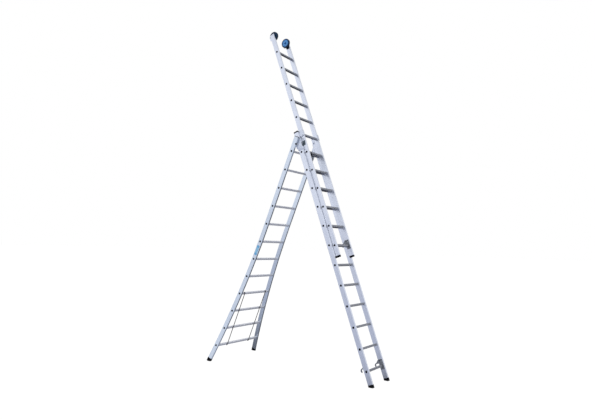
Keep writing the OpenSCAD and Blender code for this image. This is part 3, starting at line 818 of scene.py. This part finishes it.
def makeRivets():
    shank, radius, rise, dimple = (rivet[key] for key in ("shank", "radius", "rise", "dimple"))
    dome = addTurned("rivet", shank, [
        (0.0, shank), (0.0, radius), (0.0008, radius - 0.0002), (0.0016, radius - 0.0011),
        (rise, 0.0028), (rise, dimple), (rise - 0.001, dimple - 0.0003),
    ], -rivet["grip"], 20)
    finish(dome, darkSteelGapShade)
    shank, radius, rise = bolt["shank"], bolt["radius"], bolt["rise"]
    screw = softenEdges(addTurned("screw", shank, [
        (0.0, shank), (0.0, radius + 0.0012), (0.0008, radius + 0.0012), (0.0008, radius),
        (rise, radius), (rise, radius * 0.7),
    ], -bolt["grip"], 6), 0.0003)
    finish(screw, darkSteelGapShade)
    inward = turnBack @ turnToX
    hookRow = [(y, z + lastRung) for y, z in hookRivets]
    rows = {
        "middle": [(dome, middleInner - hook["plate"], hookRow, inward),
                   (screw, guide["web"], guideBolts, inward), (screw, middleInner, guideScrews, turnToX),
                   (dome, middleHalf, stopBolt, turnToX)],
        "front": [(dome, frontInner - hook["plate"], hookRow, inward),
                  (dome, frontInner - inwardPlate, wheelRivets, inward)],
        "rear": [(dome, rearInner - inwardPlate, earRivets, inward)],
    }
    for section, row in rows.items():
        parts = [copyAt(one, side @ moved(x, y, z) @ turn) for _, side in sides(sections[section][0])
                 for one, x, points, turn in row for y, z in points]
        handOver(join(section + "RivetSet", parts), section + "_section", "dark_steel", section + "_rivets")
    drop(dome)
    drop(screw)
    print("rivets made")


makeRivets()

# End caps and feet

cap = {"thick": 0.008, "plug": 0.020, "frontPlug": 0.007, "wall": 0.0021, "skirt": 0.013,
       "proud": 0.0006}
foot = {"proud": 0.001, "rib": 0.0012, "ribPitch": 0.009, "recess": 0.0015, "corner": 0.0035,
        "rearEnd": 0.204, "rearLow": -0.0535, "rearRibs": 4,
        "middleEnd": 0.164, "middleLow": -0.042, "middleRibs": 3}
bottomCap = {"proud": 0.0006, "end": 0.145, "low": -0.025}


def around(more):
    return stile["width"] + more, stile["depth"] + more


def makeTopCaps():
    inWide, inDeep = around(-2 * cap["wall"])
    for section in ("middle", "front", "rear"):
        matrix, half = sections[section]
        stem = cap["frontPlug"] if section == "front" else cap["plug"]
        skirt = cap["skirt"] if section == "middle" else 0.0
        wide, deep = around(2 * cap["proud"] if skirt else 0)
        one = addRounded("cap", inWide, inDeep, 0.002)
        top = cap["thick"]
        drawUp(one, (inWide, inDeep), [
            (-skirt, inWide, inDeep), (-skirt, wide, deep), (top - 0.003, wide, deep),
            (top - 0.0012, wide - 0.0012, deep - 0.0012), (top, wide - 0.004, deep - 0.004),
            (top, wide - 0.009, deep - 0.009), (top - 0.0008, wide - 0.010, deep - 0.010),
        ], -stem)
        finish(one, blackPlastic)
        givePair(section + "TopCapPair", one, matrix, moved(half - stile["width"] / 2, 0, endTop[section]),
                 section + "_section", "black_plastic", section + "_top_caps")


def footLevels(wide, deep, low, ribs):
    # levels of a ribbed rubber block from its underside up to the stile's end
    levels, z, rib, pitch = [], low, foot["rib"], foot["ribPitch"]
    for _ in range(ribs):
        levels += [(z + 0.0005, wide, deep), (z + pitch * 0.7, wide, deep),
                   (z + pitch * 0.75, wide - rib, deep - rib), (z + pitch * 0.95, wide - rib, deep - rib)]
        z += pitch
    return levels + [(z, wide, deep), (0.0, wide, deep), (0.0, *around(-2 * cap["wall"])),
                     (cap["plug"], *around(-2 * cap["wall"]))]


def makeFeet():
    wide, deep = around(2 * foot["proud"])
    under = (wide - 0.001, deep - 0.001)
    for section, spot in (
        ("rear", onFlare(foot["rearEnd"] - lastRung)),
        ("middle", moved(middleHalf - stile["width"] / 2, 0, lastRung - foot["middleEnd"])),
    ):
        for sideName, side in sides(sections[section][0]):
            piece = addRounded("foot", *under, foot["corner"])
            low = foot[section + "Low"]
            drawUp(piece, under, footLevels(wide, deep, low, foot[section + "Ribs"]), low)
            put(piece, side @ spot)
            editAll(piece)
            bpy.ops.mesh.bisect(plane_co=(0, 0, 0), plane_no=(0, 0, 1), use_fill=True, clear_inner=True)
            pickFaces(piece, lambda face: face.calc_center_median().z < 1e-5)
            bpy.ops.mesh.inset(thickness=0.0035)
            bpy.ops.mesh.extrude_region_move(TRANSFORM_OT_translate={"value": (0, 0, foot["recess"])})
            cleanUp(piece)
            finish(piece, footRubber)
            handOver(join(section + "FootRubber" + sideName.capitalize(), [piece]), section + "_section",
                     "foot_rubber", section + "_foot_" + sideName)


def makeBottomCaps():
    wide, deep = around(2 * bottomCap["proud"])
    low, under = bottomCap["low"], (wide - 0.006, deep - 0.006)
    one = addRounded("bottomCap", *under, 0.003)
    levels = [(low + 0.0015, wide - 0.002, deep - 0.002)] + footLevels(wide, deep, low + 0.0025, 2)
    drawUp(one, under, levels, low)
    finish(one, footRubber)
    spot = moved(frontHalf - stile["width"] / 2, 0, lastRung - bottomCap["end"])
    givePair("frontBottomCapPair", one, frontFrame, spot, "front_section", "black_plastic",
             "front_bottom_caps")


makeTopCaps()
makeFeet()
makeBottomCaps()
print("caps and feet made")

# Wheels, their brackets and axles

wheel = {"radius": 0.0725, "half": 0.017, "rim": 0.0585, "bore": 0.00505, "hub": 0.016, "web": 0.012,
         "ribs": 8, "height": 0.292, "centre": 0.150, "axle": 0.1327, "bracketLow": 0.200,
         "bracketHalf": 0.025}


def makeWheels():
    r, h, rim, hub, web = (wheel[key] for key in ("radius", "half", "rim", "hub", "web"))
    tyre = addLathed("tyre", bothEnds([
        (rim, 0.0155), (rim + 0.001, h - 0.0006), (rim + 0.0055, h), (r - 0.0042, h - 0.0012),
        (r - 0.0012, h - 0.0042), (r, h - 0.0078), (r, 0.0072), (r - 0.0014, 0.0066), (r - 0.0014, 0.0052),
        (r, 0.0046),
    ]))
    disc = addLathed("disc", bothEnds([
        (wheel["bore"], h), (hub - 0.0015, h), (hub, h - 0.0012), (hub + 0.001, h - 0.004),
        (hub + 0.004, web), (0.0455, web), (0.0495, h - 0.0035), (0.0512, h - 0.001),
        (rim - 0.001, h - 0.001), (rim - 0.0001, h - 0.002),
    ]))
    ribs = []
    for i in range(wheel["ribs"]):
        for face in (0, 1):
            rib = addBlock("rib", (hub - 0.001, -0.0014, 0.004), (0.0512, 0.0014, 0.0152), 0.0005)
            turn = Matrix.Rotation(2 * math.pi * i / wheel["ribs"], 4, "Z")
            put(rib, Matrix.Rotation(math.pi * face, 4, "X") @ turn)
            ribs.append(rib)
    finish(tyre, tyreRubber)
    disc = join("disc", [finish(p, wheelBlue) for p in [disc] + ribs])
    disc.data.materials.append(hubBlue)
    disc.data.materials.append(wheelShadeNavy)
    for face in disc.data.polygons:
        reach = math.hypot(face.center.x, face.center.y)
        # painted shade: the side towards the stile gets the dark navy
        if face.center.z > 0:  # the side towards the stile is dark
            face.material_index = 2
        elif reach < hub + 0.0015 or reach > rim - 0.006:
            face.material_index = 1
    for sideName, side in sides(frontFrame):
        spot = side @ moved(wheel["centre"], 0, wheel["height"]) @ turnToX
        for one, name, slotName in ((tyre, "Tyre", "tyre_rubber"), (disc, "Disc", "wheel_blue")):
            handOver(join("wheel" + name + sideName.capitalize(), [copyAt(one, spot)]), "wheel_" + sideName,
                     slotName, "wheel_" + name.lower() + "_" + sideName)
    drop(tyre)
    drop(disc)


def makeWheelBrackets():
    half, low, top = wheel["bracketHalf"], wheel["bracketLow"], wheel["height"]
    outline = (arc(half - 0.010, low + 0.010, 0.010, 270, 360, 4) + arc(0, top, half, 0, 180, 20)
               + arc(-half + 0.010, low + 0.010, 0.010, 180, 270, 4))
    holes = [ring(y, low + 0.012, 0.0031, 16)[::-1] for y in (-0.012, 0.012)]
    holes.append(ring(0, top, 0.005, 20)[::-1])
    plate = addPlate("plate", [outline] + holes, inwardPlate, 0.0009)
    boss = addTurned("boss", wheel["hub"] - 0.001, [(0.0006, wheel["hub"]), (0.003, wheel["hub"])])
    put(boss, moved(0, top, -0.0027))
    rib = addBlock("rib", (-half + 0.002, low + 0.026, -0.0022), (-half + 0.005, top, 0.0005), 0.0006)
    parts = [plate, boss, rib, copyAt(rib, moved(2 * half - 0.007, 0, 0))]
    one = join("bracket", [finish(p, blackPlastic) for p in parts])
    giveSides("wheelBracket", one, frontFrame, moved(frontInner - inwardPlate, 0, 0) @ turnToX,
              "front_section", "black_plastic", "wheel_bracket_")
    drop(one)


def makeAxles():
    bar = addTurned("bar", 0.005, [
        (0.0673, 0.005), (0.0673, 0.0074), (0.0677, 0.0072), (0.0683, 0.0050), (0.0683, 0.002),
    ])
    nut = softenEdges(addTurned("nut", 0.0086, [(0.0040, 0.0086)], -0.0060, 6), 0.0005)
    washer = addTurned("washer", 0.0088, [(-0.0003, 0.0090), (0.0, 0.0088)], -0.0018, 32)
    end = addTurned("end", 0.0049, [(-0.0066, 0.0045)], 0.001)
    one = join("axle", [finish(bar, brightSteel)] + [finish(p, hubBlue) for p in (nut, washer, end)])
    givePair("wheelAxlePair", one, frontFrame, moved(wheel["axle"], 0, wheel["height"]) @ turnToX,
             "front_section", "bright_steel", "wheel_axles")


cheek = {"x": 0.1705, "thick": 0.003, "screw": (0.057, 0.296)}


def makeCheeks():
    # light guard plates between the stiles and the wheels, reaching out to the rear
    plate = addPlate("cheek", [
        [(0.026, 0.236), (0.052, 0.236)] + arc(0.040, 0.262, 0.0315, -38, 40, 10)
        + arc(0.048, 0.304, 0.018, 20, 90, 5) + [(0.026, 0.322)],
    ], cheek["thick"], 0.0008)
    screw = addTurned("screw", 0.004, [
        (0.0022, 0.0066), (0.0040, 0.0058), (0.0040, 0.0026), (0.0030, 0.0020),
    ], 0.0, 20)
    put(screw, moved(*cheek["screw"], 0))
    one = join("cheek", [finish(plate, stileMiddleMetal), finish(screw, darkSteelGapShade)])
    givePair("wheelCheekPair", one, frontFrame, moved(cheek["x"], 0, 0) @ turnToX, "front_section",
             "bracket_aluminium")


makeWheels()
makeWheelBrackets()
makeAxles()
makeCheeks()
print("wheels made")

# Hooks at the last rung of the middle and front sections


def makeHooks():
    half, low, high = hook["half"], hook["low"], hook["high"]
    corner = 0.006
    right, left, bottom, top = half - corner, corner - half, low + corner, high - corner
    base = addPlate("base", [
        arc(right, bottom, corner, 270, 360, 4) + arc(right, top, corner, 0, 90, 4)
        + arc(left, top, corner, 90, 180, 4) + arc(left, bottom, corner, 180, 270, 4),
        roundedOutline(0.0308, 0.0308, 0.0042)[::-1],
    ] + [ring(y, z, 0.0031, 16)[::-1] for y, z in hookRivets], hook["plate"], 0.0007)
    start, mouthTop, mouthRear, tip = (hook[key] for key in ("start", "mouthTop", "mouthRear", "tip"))
    tipTurn = math.degrees(math.asin((tip - hook["z"]) / hook["radius"]))
    claw = addPlate("claw", [
        [(start, mouthTop), (mouthRear - 0.004, mouthTop)]
        + arc(mouthRear - 0.004, mouthTop - 0.004, 0.004, 90, 0, 4)[1:] + [(mouthRear, tip)]
        + arc(hook["y"], hook["z"], hook["radius"], tipTurn, 90, 16)
        + [(half, high - 0.003), (half - 0.004, high), (start + 0.003, high), (start, high - 0.003)]
    ], hook["claw"], 0.0012, 2)
    put(claw, moved(0, 0, hook["plate"] - hook["claw"]))
    one = join("hook", [finish(p, hookMetal) for p in (base, claw)])
    for section, inner in (("middle", middleInner), ("front", frontInner)):
        spot = moved(inner - hook["plate"], 0, lastRung) @ turnToX
        giveSides(section + "Hook", one, sections[section][0], spot, section + "_section", "hook_steel",
                  section + "_hook_")
    drop(one)
    print("hooks made")


makeHooks()

# Guide brackets that wrap the front section's stiles at the middle section's top


def makeGuides():
    lip, web, inner = guide["lip"], guide["web"], middleInner
    front, rear, thin, bend = guide["front"], guide["rear"], guide["plate"], guide["bend"]
    outline = (
        [(lip, front + thin), (lip, front)] + arc(inner - bend, front + bend, bend, 270, 360, 5)
        + [(inner, guide["back"]), (web, guide["back"]), (web, rear), (lip, rear), (lip, rear - thin),
           (web, rear - thin), (web, front + thin)]
    )
    piece = addPlate("guide", [outline], guide["high"] - guide["low"], 0.0006)
    put(piece, moved(0, 0, guide["low"]))
    editAll(piece)
    slope = Vector((0, guide["slant"], rear - front)).normalized()
    bpy.ops.mesh.bisect(plane_co=(0, front, guide["low"] + guide["slant"]), plane_no=slope, use_fill=True,
                        clear_inner=True)
    cleanUp(piece)
    pads = [addBlock("pad", (lip + 0.002, y, z), (web - 0.0005, y + 0.0012, z + 0.018), 0.0004)
            for y in (front + thin - 0.0002, rear - thin - 0.001) for z in (0.245, 0.292)]
    for pad in pads:
        finish(pad, blackPlastic)
    one = join("guide", [finish(piece, bracketMetal)] + pads)
    giveSides("guideBracket", one, middleFrame, Matrix(), "middle_section", "bracket_aluminium",
              "middle_guide_")
    drop(one)
    print("guide brackets made")


makeGuides()

# Hinge brackets: channels round the middle stiles, with the lobe that holds the pin and the stop stud

bracket = {"face": 0.2365, "plate": 0.004, "lip": 0.211, "half": 0.0405, "low": 0.032, "high": 0.222,
           "pinY": 0.031, "pinZ": 0.137, "lobe": 0.055, "bend": 0.004, "stud": 0.005, "studReach": 0.034,
           "studTurn": 62.4, "inset": 0.0003}


def makeHingeBrackets():
    face, thin, half, bend = bracket["face"], bracket["plate"], bracket["half"], bracket["bend"]
    out = face + thin
    channel = addPlate("channel", [
        [(bracket["lip"], -half + thin), (bracket["lip"], -half)]
        + arc(out - bend, -half + bend, bend, 270, 360, 5) + arc(out - bend, half - bend, bend, 0, 90, 5)
        + [(bracket["lip"], half), (bracket["lip"], half - thin), (face, half - thin), (face, -half + thin)]
    ], bracket["high"] - bracket["low"], 0.0006)
    put(channel, moved(0, 0, bracket["low"]))
    turn = math.radians(bracket["studTurn"])
    studY = bracket["pinY"] + bracket["studReach"] * math.cos(turn)
    studZ = bracket["pinZ"] + bracket["studReach"] * math.sin(turn)
    lobe = addPlate("lobe", [
        [(0.020, 0.0565), (half, 0.0588), (bracket["lobe"], 0.066)] + arc(studY, studZ, 0.013, -50, 84, 10)
        + [(half, 0.1897), (0.034, 0.200), (0.020, 0.196)],
    ], thin - 2 * bracket["inset"], 0.0007)
    put(lobe, moved(face + bracket["inset"], 0, 0) @ turnToX)
    thick = bracket["stud"]
    stud = addTurned("stud", thick, [(0.0112, thick), (0.0112, thick - 0.001)], 0.0, 24)
    put(stud, moved(face, studY, studZ) @ turnToX)
    one = join("bracket", [finish(p, bracketMetal) for p in (channel, lobe)] + [finish(stud, brightSteel)])
    giveSides("hingeBracket", one, middleFrame, Matrix(), "hinge_link", "bracket_aluminium", "hinge_bracket_")
    drop(one)


def makeHingePins():
    pin = addTurned("pin", 0.006, [
        (0.0040, 0.006), (0.0040, 0.0095), (0.0044, 0.0100), (0.0072, 0.0100), (0.0072, 0.006),
        (0.0118, 0.006), (0.0118, 0.0100), (0.0160, 0.0100), (0.0180, 0.0086), (0.0188, 0.0060),
        (0.0188, 0.0030), (0.0176, 0.0022),
    ], 0.0, 36)
    finish(pin, brightSteel)
    spot = moved(bracket["face"], bracket["pinY"], bracket["pinZ"]) @ turnToX
    givePair("hingePinPair", pin, middleFrame, spot, "hinge_link", "bright_steel", "hinge_pins")
    print("hinge made")


makeHingeBrackets()
makeHingePins()

# Guide rods on the rear section, bent over rung 9 and under rung 12

rod = {"x": 0.2445, "y": -0.0205, "radius": 0.0055, "bend": 0.009, "tail": 0.015, "beyond": 0.0205}


def makeRods():
    low = lastRung - rod["beyond"]
    high = lastRung + 3 * rungPitch + rod["beyond"]
    x, y, bend = rod["x"], rod["y"], rod["bend"]
    path = [(y + rod["tail"], low)] + arc(y + bend, low + bend, bend, 270, 180, 6)
    path += arc(y + bend, high - bend, bend, 180, 90, 6) + [(y + rod["tail"], high)]
    path = [(x, *spot) for spot in path]
    piece, curve = drawCurve("rod", [path], flat=False, closed=False)
    curve.bevel_depth = rod["radius"]
    curve.bevel_resolution = 4
    curve.use_fill_caps = True
    one = finish(softenEdges(cleanUp(toMesh(piece)), 0.0008, 2, 60), rodSteel)
    givePair("guideRodPair", one, rearFrame, Matrix(), "rear_section", "bright_steel", "rear_guide_rods")
    print("guide rods made")


makeRods()

# Label film on the left rear stile, between rungs 6 and 7, with plain stripes and no lettering

label = {"length": 0.150, "width": 0.044, "corner": 0.005, "film": 0.0004, "glue": 0.00005, "depth": 5.5,
         "band": 0.040, "rule": 0.034, "pale": (0.32, 0.66, 0.86), "blue": (0.16, 0.50, 0.78),
         "line": (0.74, 0.87, 0.94), "dust": (0.62, 0.72, 0.80), "rubbed": (0.70, 0.80, 0.88)}


def makeLabelFilm():
    material, tree, shader, place = newMaterial("labelFilm")
    grains = addGroup(tree, mouldGrain, place.outputs["Object"], Scale=0.5)
    edge = addGroup(tree, rubbedEdge, place.outputs["Object"], Amount=0.7)
    along = addSplit(tree, sectionPlace(tree, place, rearFrame))[2]
    offset = sizeOf(tree, plus(tree, along, label["depth"] * rungPitch))
    band = addRange(tree, offset, label["band"], label["band"] + 0.0005)
    rule = addRange(tree, sizeOf(tree, minus(tree, offset, label["rule"])), 0.0012, 0.0009)
    ruled = addMix(tree, rule, addMix(tree, band, label["pale"], label["blue"]), label["line"])
    dusty = addMix(tree, grains["Dust"], ruled, label["dust"])
    rough = addRange(tree, grains["Gloss"], 0.3, 0.7, 0.28, 0.46, False)
    colour = addMix(tree, edge["Mask"], dusty, label["rubbed"])
    dress(tree, shader, colour, rough, grains["Height"], 0.1, 0.0002)
    return material


def makeLabel():
    piece = addRounded("label", label["width"], label["length"], label["corner"], 5)
    for i in range(1, 12):
        editAll(piece)
        y = label["length"] * (i / 12 - 0.5)
        bpy.ops.mesh.bisect(plane_co=(0, y, 0), plane_no=(0, 1, 0))
    editAll(piece)
    bpy.ops.mesh.extrude_region_move(TRANSFORM_OT_translate={"value": (0, 0, label["film"])})
    cleanUp(piece)
    middle = label["depth"] * rungPitch
    for point in piece.data.vertices:
        spot = onFlare(middle - point.co.y)
        point.co = spot @ Vector((stile["width"] / 2 + label["glue"] + point.co.z, point.co.x, 0))
    cleanUp(piece)
    put(piece, rearFrame @ mirrorX)
    finish(piece, makeLabelFilm())
    handOver(join("labelPlate", [cleanUp(piece)]), "rear_section", "label_film", "side_label")
    print("label made")


makeLabel()

# Small fittings of the front section: sprung latch plates on the stiles and a catch under rung 7

latch = {"width": 0.048, "height": 0.070, "z": -1.540, "thick": 0.0008, "lean": 0.012, "hole": 0.0085}
catch = {"x": 0.103, "plate": 0.003, "length": 0.098, "wide": 0.017, "tip": 0.006, "rung": 7}


def makeLatches():
    w, h, lean = latch["width"] / 2, latch["height"] / 2, latch["lean"] / 2
    plate = addPlate("latch", [
        [(-w + lean + 0.002, -h), (w + lean - 0.004, -h), (w + lean, -h + 0.004), (w - lean, h - 0.003),
         (w - lean - 0.002, h), (-w - lean + 0.004, h), (-w - lean, h - 0.004), (-w + lean, -h + 0.003)],
        ring(0, 0, latch["hole"], 24)[::-1],
    ], latch["thick"], 0.0002)
    rim = latch["hole"] - 0.0004
    button = addTurned("button", rim, [
        (0.0003, rim), (latch["thick"], rim - 0.0008), (latch["thick"], rim / 2), (0.0004, rim / 2 - 0.0006),
    ], 0.0, 24)
    one = join("latch", [finish(plate, latchPlastic), finish(button, darkSteelGapShade)])
    givePair("latchPlatePair", one, frontFrame, moved(frontHalf, 0, latch["z"]) @ turnToX, "front_section",
             "black_plastic")


def makeCatch():
    low = -0.0155 - catch["length"]
    wide, tip = catch["wide"], catch["tip"]
    plate = addPlate("catch", [
        arc(0, low + tip, tip, 180, 360, 8) + [(wide, -0.040), (wide, -0.004), (0.0156, 0.0)]
        + [(0.0156, -0.0156), (-0.0156, -0.0156), (-0.0156, 0.0), (-wide, -0.004), (-wide, -0.040)],
        ring(0, low + 0.022, 0.0028, 16)[::-1],
    ], catch["plate"], 0.0006)
    saddle = addPlate("saddle", [
        roundedOutline(0.0345, 0.0345, 0.006), roundedOutline(0.0302, 0.0302, 0.004)[::-1],
    ], 0.014, 0.0005)
    put(saddle, moved(0, 0, -0.0055))
    one = join("catch", [finish(p, darkSteelGapShade) for p in (plate, saddle)])
    spot = moved(catch["x"], 0, -(catch["rung"] - 1) * rungPitch)
    made = copyAt(one, frontFrame @ mirrorX @ spot @ turnToX)
    handOver(join("rungCatch", [made]), "front_section", "dark_steel")
    drop(one)
    print("latches and catch made")


makeLatches()
makeCatch()
